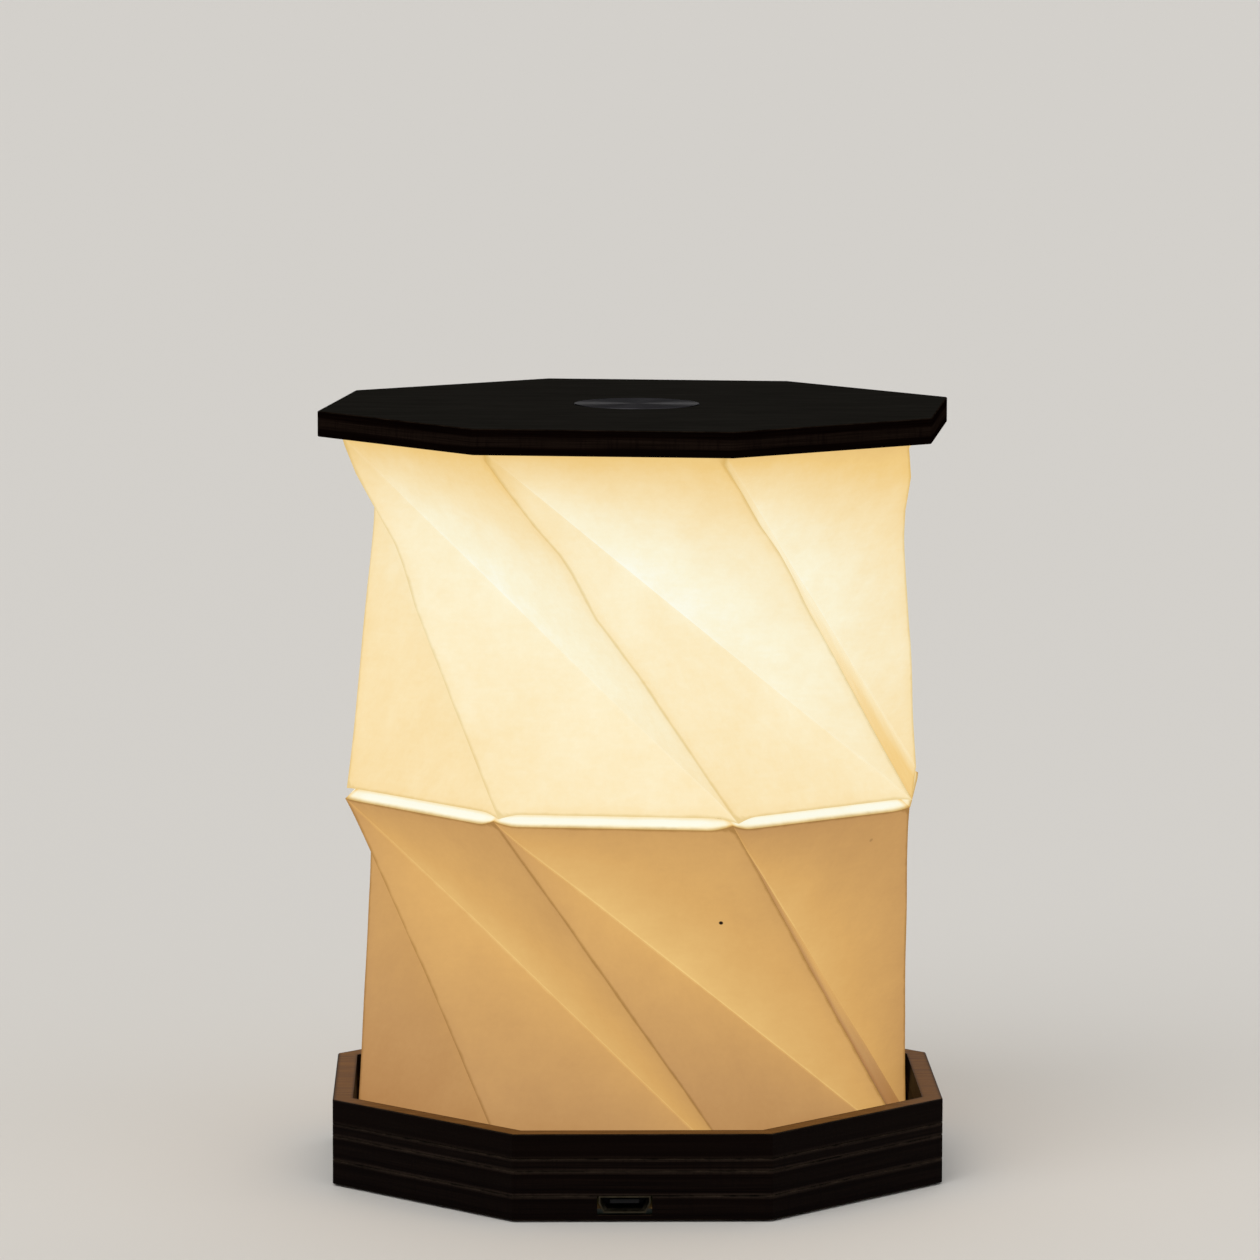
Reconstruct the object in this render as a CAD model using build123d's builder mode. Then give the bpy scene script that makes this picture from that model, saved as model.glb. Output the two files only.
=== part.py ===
from build123d import *
from math import cos, pi, radians, sqrt, tan
import os

# Folding pleated paper table lamp. An eight-sided wooden top plate and an eight-sided tray base are
# joined by two twisted paper stages, which fold flat into the tray as the top turns and comes down.
# Millimetres and degrees. +Z is up, the charging socket faces -Y, and the origin is the middle of
# the footprint, at the height of the surface that the lamp stands on.

# ---------------------------------------------------------------- driving dimensions

# plates and plies
sides = 8
plate_flats = 100.0          # top plate and base, across flats
top_ply = 4.2                # top plate
base_ply = 4.0               # bottom plate, lower ring and rim
thin_ply = 2.0               # thin ring between them
rim_width = 3.3              # width of the rim seen from above
tray_gap = 0.5               # room between the folded paper and the tray's walls
corner_round = 0.5           # upright corners of the plates
edge_break = 0.15            # sanded edges, which draw the lines between the plies

# feet
foot_diameter = 8.0
foot_height = 1.1
foot_proud = 0.3             # how far the feet stand below the wood
foot_spacing = 60.0
foot_gap = 0.1               # room round a foot in its recess

# folded paper stages
paper = 0.6                  # wall of the folded paper
tab_thickness = 0.4          # paper tabs and hems
tab_width = 6.0              # how far the tabs turn in under a clamp
mid_height = 63.8            # middle of the pleat between the stages
top_underside = 122.6        # underside of the top plate
pleat_half_gap = 0.8         # half of the open pleat between the stages
pleat_depth = 2.3            # how far the pleat goes in
pleat_rise = 1.2             # height of the slanted hem in the pleat
hem_width = 0.9              # level width of the slanted hem's wall
mid_turn = -4.8              # turn of the middle of the shade against the base
top_turn = -7.5              # turn of the top against the base

# frame between the stages
frame_thickness = 1.5
frame_hole_flats = 40.0      # hole that lets light and lead through

# clearances
glue_gap = 0.05              # paper against wood
fit_gap = 0.3                # loose fits between pieces
screw_gap = 0.02             # screw thread in its hole

# ring and panel that clamp the paper tabs
clamp_thickness = 1.2
clamp_land = 4.0             # level width of the clamp ring that touches the plate
clamp_inset = 1.7            # from the paper's corners in to a clamp's corners

# screws
screw_diameter = 2.0
screw_head = 3.4
screw_length = 3.6
screw_slot = 0.5
screw_slot_depth = 0.4
sink_angle = 90.0            # cone of the countersunk heads
floor_screw_inset = 4.3      # from the edge of the panel's thick middle in to its screws
clamp_screw_count = 4

# charging board and socket
socket_x = -2.8              # socket's middle, left of the front face's middle
wall_before_board = 1.4      # wood left in front of the board
bay_floor = 0.8              # wood left under the bay
bay_gap = 0.3                # room round board and cell
board_width = 18.0
board_length = 33.5
board_thickness = 0.8
socket_width = 7.5           # outside of the shell, at its wide upper side
socket_low_width = 5.9       # outside of the shell, at its narrow lower side
socket_height = 2.35
socket_shoulder = 1.1        # height of the upright part of the shell's sides
socket_wall = 0.25
socket_depth = 5.6
socket_setback = 0.2         # lip behind the face of the base
lip_length = 0.6
lip_flare = 0.4
notch_side_gap = 0.25
tongue_width = 4.6
tongue_thickness = 0.6
tongue_drop = 0.95           # middle of the tongue below the shell's top
tongue_length = 3.6

# battery
cell_width = 40.0
cell_length = 26.0
cell_thickness = 3.0
cell_round = 1.1
strip_width = 28.0           # protection board on the cell's front edge
strip_length = 3.4
wire_diameter = 1.0
wire_spacing = 8.0           # one wire on each side of the lead's plug
wire_overlap = 2.5           # how far a wire lies on each board

# lead from base to top
lead_diameter = 2.2
plug_width = 5.0
plug_length = 4.0
plug_height = 2.0
plug_round = 0.3
lead_base_x = 0.5
lead_inset = 2.2             # from the charging board's back edge to the lead
lead_top_y = -6.2
lead_bend_share = 0.45       # share of the shorter run that each bend takes

# touch disc and light board
disc_diameter = 20.7
disc_thickness = 1.0
disc_proud = 0.1
disc_gap = 0.1
disc_edge = 0.1
contact_diameter = 3.0
contact_gap = 0.5
light_board_diameter = 34.0
light_board_thickness = 1.0
light_count = 6
light_ring_radius = 11.5
light_width = 3.0
light_height = 0.8
board_screw_radius = 14.2
board_screw_count = 3
first_board_screw_angle = 90.0
board_screw_head_height = 1.0
diffuser_height = 5.0
diffuser_wall = 0.8
diffuser_round = 2.0

# ---------------------------------------------------------------- derived dimensions

half_turn = 180 / sides
corner_share = cos(pi / sides)                      # distance to a flat over distance to a corner
plate_radius = plate_flats / 2 / corner_share
tray_radius = (plate_flats / 2 - rim_width) / corner_share
shade_radius = tray_radius - tray_gap / corner_share
clamp_radius = shade_radius - clamp_inset
tab_inner_radius = clamp_radius - tab_width / corner_share
land_radius = tab_inner_radius - fit_gap / corner_share
clamp_inner_radius = land_radius - clamp_land / corner_share
clamp_screw_radius = (land_radius + clamp_inner_radius) / 2 * corner_share
hem_inner_radius = shade_radius - pleat_depth / corner_share
frame_radius = hem_inner_radius - (hem_width + fit_gap) / corner_share
frame_hole_radius = frame_hole_flats / 2 / corner_share

bottom_top = foot_proud + base_ply
lower_ring_top = bottom_top + base_ply
thin_ring_top = lower_ring_top + thin_ply
rim_top = thin_ring_top + base_ply
top_face = top_underside + top_ply
floor_top = bottom_top + clamp_thickness
tab_room = tab_thickness + 2 * glue_gap
lower_paper_bottom = bottom_top + glue_gap
lower_paper_top = mid_height - pleat_half_gap
upper_paper_bottom = mid_height + pleat_half_gap
upper_paper_top = top_underside - glue_gap

bay_bottom = foot_proud + bay_floor
board_top = bay_bottom + board_thickness
board_front_y = wall_before_board + bay_gap - plate_flats / 2
board_back_y = board_front_y + board_length
strip_front_y = board_back_y + bay_gap
cell_front_y = strip_front_y + strip_length
cell_back_y = cell_front_y + cell_length
socket_front_y = socket_setback - plate_flats / 2
socket_back_y = socket_front_y + socket_depth
floor_screw_step = (land_radius * corner_share - floor_screw_inset) * sqrt(2)
lead_base_y = board_back_y - lead_inset
plug_top = board_top + plug_height
light_board_bottom = top_underside - light_board_thickness
top_plug_bottom = light_board_bottom - plug_height
disc_bottom = top_face + disc_proud - disc_thickness
diffuser_radius = light_board_diameter / 2 + fit_gap + diffuser_wall

os.makedirs("parts", exist_ok=True)


# ---------------------------------------------------------------- helpers

def save(piece, name):
    piece.part.label = name
    export_step(piece.part, f"parts/{name}.step")


def octagon(corner_radius, turn=0.0, mode=Mode.ADD):
    """Regular outline whose flats face the axes when it isn't turned."""
    return RegularPolygon(corner_radius, sides, rotation=half_turn + turn, mode=mode)


def plate(z, height, turn=0.0):
    """Wooden plate with rounded upright corners and sanded edges."""
    with BuildPart() as blank:
        with BuildSketch(Plane.XY.offset(z)) as outline:
            octagon(plate_radius, turn)
            fillet(outline.vertices(), corner_round)
        extrude(amount=height)
        levels = blank.edges().group_by(Axis.Z)
        chamfer(levels[0] + levels[-1], edge_break)
    return blank.part


def tray_ring(z, height):
    """One ply of the tray's wall."""
    blank = plate(z, height)
    with BuildPart() as ring:
        add(blank)
        with BuildSketch(Plane.XY.offset(z)):
            octagon(tray_radius)
        extrude(amount=height, mode=Mode.SUBTRACT)
    return ring


def facing_front(x, y):
    """Upright plane that faces the front, in which a sketch's second coordinate is the height."""
    return Plane(origin=(x, y, 0), x_dir=(1, 0, 0), z_dir=(0, -1, 0))


def screw(head_height, countersunk):
    """Slotted screw that points down, with its head's face at height zero."""
    shank = screw_diameter / 2
    head = screw_head / 2
    head_side = [(0, 0), (head, 0)]
    if not countersunk:
        head_side.append((head, -head_height))
    tip = [(shank, -head_height), (shank, shank - screw_length), (0, -screw_length)]
    with BuildPart() as piece:
        with BuildSketch(Plane.XZ):
            with BuildLine():
                Polyline(*head_side, *tip, close=True)
            make_face()
        revolve(axis=Axis.Z)
        with BuildSketch(Plane.XY):
            Rectangle(screw_head * 2, screw_slot)
        extrude(amount=-screw_slot_depth, mode=Mode.SUBTRACT)
    return piece.part


def facet(*corners):
    return Face(Wire.make_polygon(corners, close=True))


def ring_corners(corner_radius, turn, z):
    """Corners of one level ring of the folded paper."""
    first = Vector(corner_radius, 0, z)
    return [first.rotate(Axis.Z, half_turn + turn + 2 * half_turn * i) for i in range(sides)]


def twist_body(corner_radius, low_turn, low_z, high_turn, high_z):
    """Closed body of a stage. Going down, short creases run one corner on and long creases two."""
    low = ring_corners(corner_radius, low_turn, low_z)
    high = ring_corners(corner_radius, high_turn, high_z)
    faces = [facet(*low), facet(*high)]
    for i in range(sides):
        short_end = low[(i + 1) % sides]
        long_end = low[(i + 2) % sides]
        faces.append(facet(high[i], high[(i + 1) % sides], long_end))
        faces.append(facet(short_end, long_end, high[i]))
    return Solid(Shell(faces))


def paper_wall(low_turn, low_z, high_turn, high_z):
    """Folded wall of a stage, open at both ends."""
    inner_radius = shade_radius - paper / corner_share
    outer = twist_body(shade_radius, low_turn, low_z, high_turn, high_z)
    inner = twist_body(inner_radius, low_turn, low_z, high_turn, high_z)
    return outer - inner


def lead_line(points):
    """Straight runs joined by tangent arcs, each bend as large as its two runs allow."""
    points = [Vector(*point) for point in points]
    runs = [after - before for before, after in zip(points, points[1:])]
    bends = []
    for before, after in zip(runs, runs[1:]):
        half_bend = radians(before.get_angle(after)) / 2
        bends.append(lead_bend_share * min(before.length, after.length) / tan(half_bend))
    print("lead bends", [round(bend, 1) for bend in bends])
    return FilletPolyline(*points, radius=bends)


# ---------------------------------------------------------------- base

bottom_blank = plate(foot_proud, base_ply)

with BuildPart() as base_bottom_plate:
    add(bottom_blank)
    # bay for the charging board, open at the front behind the socket, and bay for the cell
    with BuildSketch(Plane.XY.offset(bottom_top)):
        with Locations((socket_x, board_front_y - bay_gap)):
            Rectangle(
                board_width + 2 * bay_gap,
                board_length + 2 * bay_gap,
                align=(Align.CENTER, Align.MIN),
            )
        with Locations((0, cell_back_y + bay_gap)):
            Rectangle(
                cell_width + 2 * bay_gap,
                cell_back_y - strip_front_y + 2 * bay_gap,
                align=(Align.CENTER, Align.MAX),
            )
        with Locations((socket_x, board_front_y)):
            Rectangle(
                socket_width + 2 * lip_flare + 2 * notch_side_gap,
                2 * (wall_before_board + bay_gap),
            )
    extrude(amount=bay_floor - base_ply, mode=Mode.SUBTRACT)
    # recesses for the feet
    with BuildSketch(Plane.XY.offset(foot_proud)):
        with GridLocations(foot_spacing, foot_spacing, 2, 2):
            Circle(foot_diameter / 2 + foot_gap)
    extrude(amount=foot_height - foot_proud, mode=Mode.SUBTRACT)
    # screw holes for the floor panel
    with BuildSketch(Plane.XY.offset(bottom_top)):
        with GridLocations(floor_screw_step, floor_screw_step, 2, 2):
            Circle(screw_diameter / 2 + screw_gap)
    extrude(amount=clamp_thickness - screw_length - screw_gap, mode=Mode.SUBTRACT)
save(base_bottom_plate, "base_bottom_plate")

base_lower_ring = tray_ring(bottom_top, base_ply)
save(base_lower_ring, "base_lower_ring")

base_thin_ring = tray_ring(lower_ring_top, thin_ply)
save(base_thin_ring, "base_thin_ring")

base_rim = tray_ring(thin_ring_top, base_ply)
save(base_rim, "base_rim")

with BuildPart() as rubber_feet:
    with BuildSketch(Plane.XY):
        with GridLocations(foot_spacing, foot_spacing, 2, 2):
            Circle(foot_diameter / 2)
    extrude(amount=foot_height)
    chamfer(rubber_feet.edges().group_by(Axis.Z)[0], foot_proud / 2)
save(rubber_feet, "rubber_feet")

with BuildPart() as floor_panel:
    # the middle touches the wood, and the thinner edge leaves room for the paper tabs
    with BuildSketch(Plane.XY.offset(bottom_top)):
        octagon(land_radius)
    extrude(amount=clamp_thickness)
    with BuildSketch(Plane.XY.offset(floor_top)):
        octagon(clamp_radius)
    extrude(amount=tab_room - clamp_thickness)
    with BuildSketch(Plane.XY.offset(bottom_top)):
        with Locations((lead_base_x, lead_base_y)):
            Circle(lead_diameter / 2 + fit_gap)
    extrude(amount=clamp_thickness, mode=Mode.SUBTRACT)
    with Locations(Plane.XY.offset(floor_top)):
        with GridLocations(floor_screw_step, floor_screw_step, 2, 2):
            CounterSinkHole(
                radius=screw_diameter / 2 + screw_gap,
                counter_sink_radius=screw_head / 2 + screw_gap,
                counter_sink_angle=sink_angle,
            )
save(floor_panel, "floor_panel")

sunk_head_height = (screw_head - screw_diameter) / 2 / tan(radians(sink_angle / 2))
sunk_screw = screw(sunk_head_height, countersunk=True)
with BuildPart() as floor_screws:
    with Locations(Plane.XY.offset(floor_top)):
        with GridLocations(floor_screw_step, floor_screw_step, 2, 2):
            add(sunk_screw)
save(floor_screws, "floor_screws")

# ---------------------------------------------------------------- charging board and socket

with BuildPart() as charge_board:
    with BuildSketch(Plane.XY.offset(bay_bottom)):
        with Locations((socket_x, board_front_y)):
            Rectangle(board_width, board_length, align=(Align.CENTER, Align.MIN))
    extrude(amount=board_thickness)
save(charge_board, "charge_board")


def socket_section(y, inset, flare=0.0):
    """Section of the socket: wide above, narrow below, flared at its sides and below."""
    top = board_top + socket_height - inset
    shoulder = board_top + socket_height - socket_shoulder
    low = board_top + inset - flare
    wide = socket_width / 2 - inset + flare
    narrow = socket_low_width / 2 - inset / 2 + flare
    with BuildSketch(facing_front(socket_x, y)) as section:
        with BuildLine():
            Polyline(
                (-wide, top),
                (-wide, shoulder),
                (-narrow, low),
                (narrow, low),
                (wide, shoulder),
                (wide, top),
                close=True,
            )
        make_face()
    return section.sketch


neck_y = socket_front_y + lip_length
shell_lip = socket_section(socket_front_y, 0, lip_flare)
shell_neck = socket_section(neck_y, 0)
mouth_lip = socket_section(socket_front_y, socket_wall, lip_flare)
mouth_neck = socket_section(neck_y, socket_wall)
shell_back = socket_section(socket_back_y, 0)
mouth_back = socket_section(socket_back_y, socket_wall)

with BuildPart() as usb_socket_shell:
    loft([shell_lip, shell_neck], ruled=True)
    loft([shell_neck, shell_back], ruled=True)
    loft([mouth_lip, mouth_neck], ruled=True, mode=Mode.SUBTRACT)
    loft([mouth_neck, mouth_back], ruled=True, mode=Mode.SUBTRACT)
save(usb_socket_shell, "usb_socket_shell")

tongue_z = board_top + socket_height - tongue_drop
tongue_front_y = socket_front_y + lip_length
block_front_y = tongue_front_y + tongue_length
block_front = socket_section(block_front_y, socket_wall)

with BuildPart() as usb_socket_tongue:
    loft([block_front, mouth_back], ruled=True)
    with BuildSketch(facing_front(0, socket_back_y)):
        with Locations((socket_x, tongue_z)):
            Rectangle(tongue_width, tongue_thickness)
    extrude(amount=socket_back_y - tongue_front_y)
save(usb_socket_tongue, "usb_socket_tongue")

# chips and coil: middle across and along the board, width, length and height
board_chips = [
    (-3.6, 11.5, 4.9, 3.9, 1.5),
    (4.2, 13.0, 4.0, 4.0, 1.9),
    (-4.6, 18.5, 2.9, 1.6, 1.1),
    (3.4, 19.5, 2.9, 1.6, 1.1),
    (-6.6, 8.0, 1.6, 0.8, 0.6),
    (6.8, 8.5, 1.6, 0.8, 0.6),
]
with BuildPart() as charge_board_parts:
    for chip_x, chip_y, chip_width, chip_length, chip_height in board_chips:
        with BuildSketch(Plane.XY.offset(board_top)):
            with Locations((socket_x + chip_x, board_front_y + chip_y)):
                Rectangle(chip_width, chip_length)
        extrude(amount=chip_height)
save(charge_board_parts, "charge_board_parts")


def lead_plug(x, y, bottom, turn=0.0):
    """Moulded plug at an end of the lead."""
    with BuildPart() as plug:
        with BuildSketch(Plane.XY.offset(bottom)) as outline:
            with Locations(Location((x, y), turn)):
                Rectangle(plug_width, plug_length)
            fillet(outline.vertices(), plug_round)
        extrude(amount=plug_height)
    return plug


base_lead_plug = lead_plug(lead_base_x, lead_base_y, board_top)
save(base_lead_plug, "base_lead_plug")

# ---------------------------------------------------------------- battery

with BuildPart() as battery_cell:
    with BuildSketch(Plane.XY.offset(bay_bottom)):
        with Locations((0, cell_back_y)):
            Rectangle(cell_width, cell_length, align=(Align.CENTER, Align.MAX))
    extrude(amount=cell_thickness)
    fillet(battery_cell.edges().filter_by(Axis.Y), cell_round)
save(battery_cell, "battery_cell")

with BuildPart() as battery_protection_board:
    with BuildSketch(Plane.XY.offset(bay_bottom)):
        with Locations((0, strip_front_y)):
            Rectangle(strip_width, strip_length, align=(Align.CENTER, Align.MIN))
    extrude(amount=board_thickness)
save(battery_protection_board, "battery_protection_board")

wire_back_y = strip_front_y + wire_overlap
wire_front_y = board_back_y - wire_overlap
with BuildPart() as battery_leads:
    with BuildSketch(facing_front(0, wire_back_y)):
        with Locations((lead_base_x, board_top + wire_diameter / 2)):
            with GridLocations(wire_spacing, 1, 2, 1):
                Circle(wire_diameter / 2)
    extrude(amount=wire_back_y - wire_front_y)
save(battery_leads, "battery_leads")

# ---------------------------------------------------------------- folded paper stages

lower_wall = paper_wall(0, lower_paper_bottom, mid_turn, lower_paper_top)
pleat_low = lower_paper_top
pleat_high = lower_paper_top + pleat_rise

with BuildPart() as shade_lower:
    add(lower_wall)
    # tabs that turn in under the floor panel
    with BuildSketch(Plane.XY.offset(lower_paper_bottom)):
        octagon(shade_radius - glue_gap)
        octagon(tab_inner_radius, mode=Mode.SUBTRACT)
    extrude(amount=tab_thickness)
    # hem that slants in and up to the middle frame
    with BuildSketch(Plane.XY.offset(pleat_low)) as hem_foot:
        octagon(shade_radius - glue_gap, mid_turn)
    with BuildSketch(Plane.XY.offset(pleat_high)) as hem_edge:
        octagon(hem_inner_radius, mid_turn)
    loft([hem_foot.sketch, hem_edge.sketch], ruled=True)
    with BuildSketch(Plane.XY.offset(pleat_low)) as hem_foot_inside:
        octagon(shade_radius - hem_width / corner_share, mid_turn)
    with BuildSketch(Plane.XY.offset(pleat_high)) as hem_edge_inside:
        octagon(hem_inner_radius - hem_width / corner_share, mid_turn)
    loft([hem_foot_inside.sketch, hem_edge_inside.sketch], ruled=True, mode=Mode.SUBTRACT)
save(shade_lower, "shade_lower")

with BuildPart() as mid_frame:
    with BuildSketch(Plane.XY.offset(mid_height)):
        octagon(frame_radius, mid_turn)
        octagon(frame_hole_radius, mid_turn, mode=Mode.SUBTRACT)
    extrude(amount=frame_thickness / 2, both=True)
save(mid_frame, "mid_frame")

upper_wall = paper_wall(mid_turn, upper_paper_bottom, top_turn, upper_paper_top)

with BuildPart() as shade_upper:
    add(upper_wall)
    # hem that turns in over the middle frame
    with BuildSketch(Plane.XY.offset(upper_paper_bottom)):
        octagon(shade_radius - glue_gap, mid_turn)
        octagon(frame_radius - tab_width / corner_share, mid_turn, mode=Mode.SUBTRACT)
    extrude(amount=tab_thickness)
    # tabs that turn in over the clamp ring
    with BuildSketch(Plane.XY.offset(upper_paper_top)):
        octagon(shade_radius - glue_gap, top_turn)
        octagon(tab_inner_radius, top_turn, mode=Mode.SUBTRACT)
    extrude(amount=-tab_thickness)
save(shade_upper, "shade_upper")

# ---------------------------------------------------------------- top plate and touch disc

top_blank = plate(top_underside, top_ply, top_turn)
first_clamp_angle = top_turn + half_turn * 2

with BuildPart() as top_plate:
    add(top_blank)
    # recess for the disc, and hole for its contact
    with BuildSketch(Plane.XY.offset(disc_bottom)):
        Circle(disc_diameter / 2 + disc_gap)
    extrude(amount=disc_thickness, mode=Mode.SUBTRACT)
    with BuildSketch(Plane.XY.offset(top_underside)):
        Circle(contact_diameter / 2 + contact_gap)
    extrude(amount=top_ply, mode=Mode.SUBTRACT)
    # screw holes for the clamp ring and the light board
    with BuildSketch(Plane.XY.offset(top_underside)):
        with PolarLocations(clamp_screw_radius, clamp_screw_count, first_clamp_angle):
            Circle(screw_diameter / 2 + screw_gap)
    extrude(amount=screw_length - clamp_thickness + screw_gap, mode=Mode.SUBTRACT)
    with BuildSketch(Plane.XY.offset(top_underside)):
        with PolarLocations(board_screw_radius, board_screw_count, first_board_screw_angle):
            Circle(screw_diameter / 2 + screw_gap)
    extrude(
        amount=screw_length - board_screw_head_height - light_board_thickness + screw_gap,
        mode=Mode.SUBTRACT,
    )
save(top_plate, "top_plate")

with BuildPart() as touch_disc:
    with BuildSketch(Plane.XY.offset(disc_bottom)):
        Circle(disc_diameter / 2)
    extrude(amount=disc_thickness)
    chamfer(touch_disc.edges().group_by(Axis.Z)[-1], disc_edge)
save(touch_disc, "touch_disc")

with BuildPart() as touch_contact:
    with BuildSketch(Plane.XY.offset(top_underside)):
        Circle(contact_diameter / 2)
    extrude(amount=disc_bottom - top_underside)
save(touch_contact, "touch_contact")

# ---------------------------------------------------------------- clamp ring

with BuildPart() as clamp_ring:
    # the inner land touches the plate, and the thinner edge leaves room for the paper tabs
    with BuildSketch(Plane.XY.offset(top_underside)):
        octagon(land_radius, top_turn)
        octagon(clamp_inner_radius, top_turn, mode=Mode.SUBTRACT)
    extrude(amount=-clamp_thickness)
    with BuildSketch(Plane.XY.offset(top_underside - clamp_thickness)):
        octagon(clamp_radius, top_turn)
        octagon(clamp_inner_radius, top_turn, mode=Mode.SUBTRACT)
    extrude(amount=clamp_thickness - tab_room)
    with Locations(Plane.XY.offset(top_underside - clamp_thickness).rotated((180, 0, 0))):
        with PolarLocations(clamp_screw_radius, clamp_screw_count, -first_clamp_angle):
            CounterSinkHole(
                radius=screw_diameter / 2 + screw_gap,
                counter_sink_radius=screw_head / 2 + screw_gap,
                counter_sink_angle=sink_angle,
            )
save(clamp_ring, "clamp_ring")

with BuildPart() as clamp_screws:
    with Locations(Plane.XY.offset(top_underside - clamp_thickness).rotated((180, 0, 0))):
        with PolarLocations(clamp_screw_radius, clamp_screw_count, -first_clamp_angle):
            add(sunk_screw)
save(clamp_screws, "clamp_screws")

# ---------------------------------------------------------------- light board

with BuildPart() as light_board:
    with BuildSketch(Plane.XY.offset(light_board_bottom)):
        Circle(light_board_diameter / 2)
        with PolarLocations(board_screw_radius, board_screw_count, first_board_screw_angle):
            Circle(screw_diameter / 2 + screw_gap, mode=Mode.SUBTRACT)
    extrude(amount=light_board_thickness)
save(light_board, "light_board")

with BuildPart() as light_emitters:
    with BuildSketch(Plane.XY.offset(light_board_bottom)):
        with PolarLocations(light_ring_radius, light_count):
            Rectangle(light_width, light_width)
    extrude(amount=-light_height)
save(light_emitters, "light_emitters")

# touch chip and resistors: middle on the board, size and height
light_chips = [
    (0.0, 4.6, 4.9, 3.9, 1.4),
    (-6.2, 0.8, 1.6, 0.8, 0.5),
    (6.2, 0.8, 1.6, 0.8, 0.5),
]
with BuildPart() as light_board_parts:
    for chip_x, chip_y, chip_width, chip_length, chip_height in light_chips:
        with BuildSketch(Plane.XY.offset(light_board_bottom)):
            with Locations((chip_x, chip_y)):
                Rectangle(chip_width, chip_length)
        extrude(amount=-chip_height)
save(light_board_parts, "light_board_parts")

board_screw = screw(board_screw_head_height, countersunk=False)
board_screw_face = light_board_bottom - board_screw_head_height
with BuildPart() as light_board_screws:
    with Locations(Plane.XY.offset(board_screw_face).rotated((180, 0, 0))):
        with PolarLocations(board_screw_radius, board_screw_count, -first_board_screw_angle):
            add(board_screw)
save(light_board_screws, "light_board_screws")

top_lead_plug = lead_plug(0, lead_top_y, top_plug_bottom)
save(top_lead_plug, "top_lead_plug")

with BuildPart() as light_diffuser:
    with BuildSketch(Plane.XY.offset(top_underside - diffuser_height)):
        Circle(diffuser_radius)
    extrude(amount=diffuser_height)
    fillet(light_diffuser.edges().group_by(Axis.Z)[0], diffuser_round)
    offset(amount=-diffuser_wall, openings=light_diffuser.faces().sort_by(Axis.Z)[-1])
    with BuildSketch(Plane.XY.offset(top_underside - diffuser_height)):
        with Locations((0, lead_top_y)):
            Circle(lead_diameter / 2 + fit_gap)
    extrude(amount=diffuser_height / 2, mode=Mode.SUBTRACT)
save(light_diffuser, "light_diffuser")

# ---------------------------------------------------------------- lead

lead_points = [
    (lead_base_x, lead_base_y, plug_top),
    (lead_base_x, lead_base_y, 22.0),
    (-3.2, -12.6, 42.0),
    (-1.6, -8.4, 63.0),
    (2.6, -9.8, 83.0),
    (0.0, lead_top_y, 103.0),
    (0.0, lead_top_y, top_plug_bottom),
]
with BuildPart() as main_lead:
    with BuildLine():
        lead_route = lead_line(lead_points)
    with BuildSketch(Plane.XY.offset(plug_top)):
        with Locations((lead_base_x, lead_base_y)):
            Circle(lead_diameter / 2)
    sweep()
save(main_lead, "main_lead")
lead_section = pi * lead_diameter**2 / 4
print("lead length", round(lead_route.length, 1))
print("lead volume share", round(main_lead.part.volume / lead_section / lead_route.length, 3))
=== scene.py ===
from math import atan2, cos, exp, pi, radians, sin

import bpy
import numpy as np
from mathutils import Matrix, Vector, noise


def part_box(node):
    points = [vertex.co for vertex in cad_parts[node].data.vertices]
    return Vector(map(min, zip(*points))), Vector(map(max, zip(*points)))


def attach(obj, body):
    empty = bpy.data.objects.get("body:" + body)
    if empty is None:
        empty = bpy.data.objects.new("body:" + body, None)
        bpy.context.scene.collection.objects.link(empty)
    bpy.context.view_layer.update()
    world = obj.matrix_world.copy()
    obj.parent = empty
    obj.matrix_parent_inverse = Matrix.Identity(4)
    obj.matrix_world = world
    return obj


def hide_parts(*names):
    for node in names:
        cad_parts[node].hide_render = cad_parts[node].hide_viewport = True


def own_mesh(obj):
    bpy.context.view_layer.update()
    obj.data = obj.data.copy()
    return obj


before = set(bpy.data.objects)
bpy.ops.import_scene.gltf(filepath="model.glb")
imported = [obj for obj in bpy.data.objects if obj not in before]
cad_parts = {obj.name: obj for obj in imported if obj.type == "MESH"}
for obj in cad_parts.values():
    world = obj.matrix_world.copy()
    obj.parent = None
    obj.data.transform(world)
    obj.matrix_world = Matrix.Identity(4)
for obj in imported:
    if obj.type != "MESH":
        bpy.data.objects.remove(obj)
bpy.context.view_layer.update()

# Looks of the folding pleated paper table lamp, lit, on a pale floor. Metres in the row frame.
# +Z is up and the charging socket faces -Y.

# ---------------------------------------------------------------- sizes

MM = 0.001
SIDES = 8
STEP = 2 * pi / SIDES
HALF_STEP = STEP / 2
FLAT = cos(HALF_STEP)                 # distance to a flat over distance to a corner
MID_TURN = radians(-4.8)              # turn of the middle of the shade against the base
TOP_TURN = radians(-7.5)              # turn of the top against the base

floor_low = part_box("floor_panel")[0]
frame_low, frame_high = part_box("mid_frame")
upper_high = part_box("shade_upper")[1]
rim_low, rim_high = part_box("base_rim")
plate_low, plate_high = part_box("top_plate")

shade_radius = upper_high.x / cos(HALF_STEP + TOP_TURN)
frame_radius = frame_high.x / cos(HALF_STEP + MID_TURN)
mid_height = (frame_low.z + frame_high.z) / 2
plate_half = rim_high.x               # half of the plates' width across flats

PAPER = 0.45 * MM                     # thickness of the paper
TAB_WIDTH = 6.0 * MM
TAB_GAP = 0.05 * MM                   # under the lower stage's tab
PLEAT_DEPTH = 1.75 * MM               # how far the pleat goes in
HEM_GAP = 0.1 * MM                    # the hem over the middle frame
FOLD_GAP = 0.09 * MM                  # the pleat's inner fold under the hem
OPEN_HALF_GAP = 0.98 * MM             # half of the pleat's opening in the middle of a side
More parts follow.
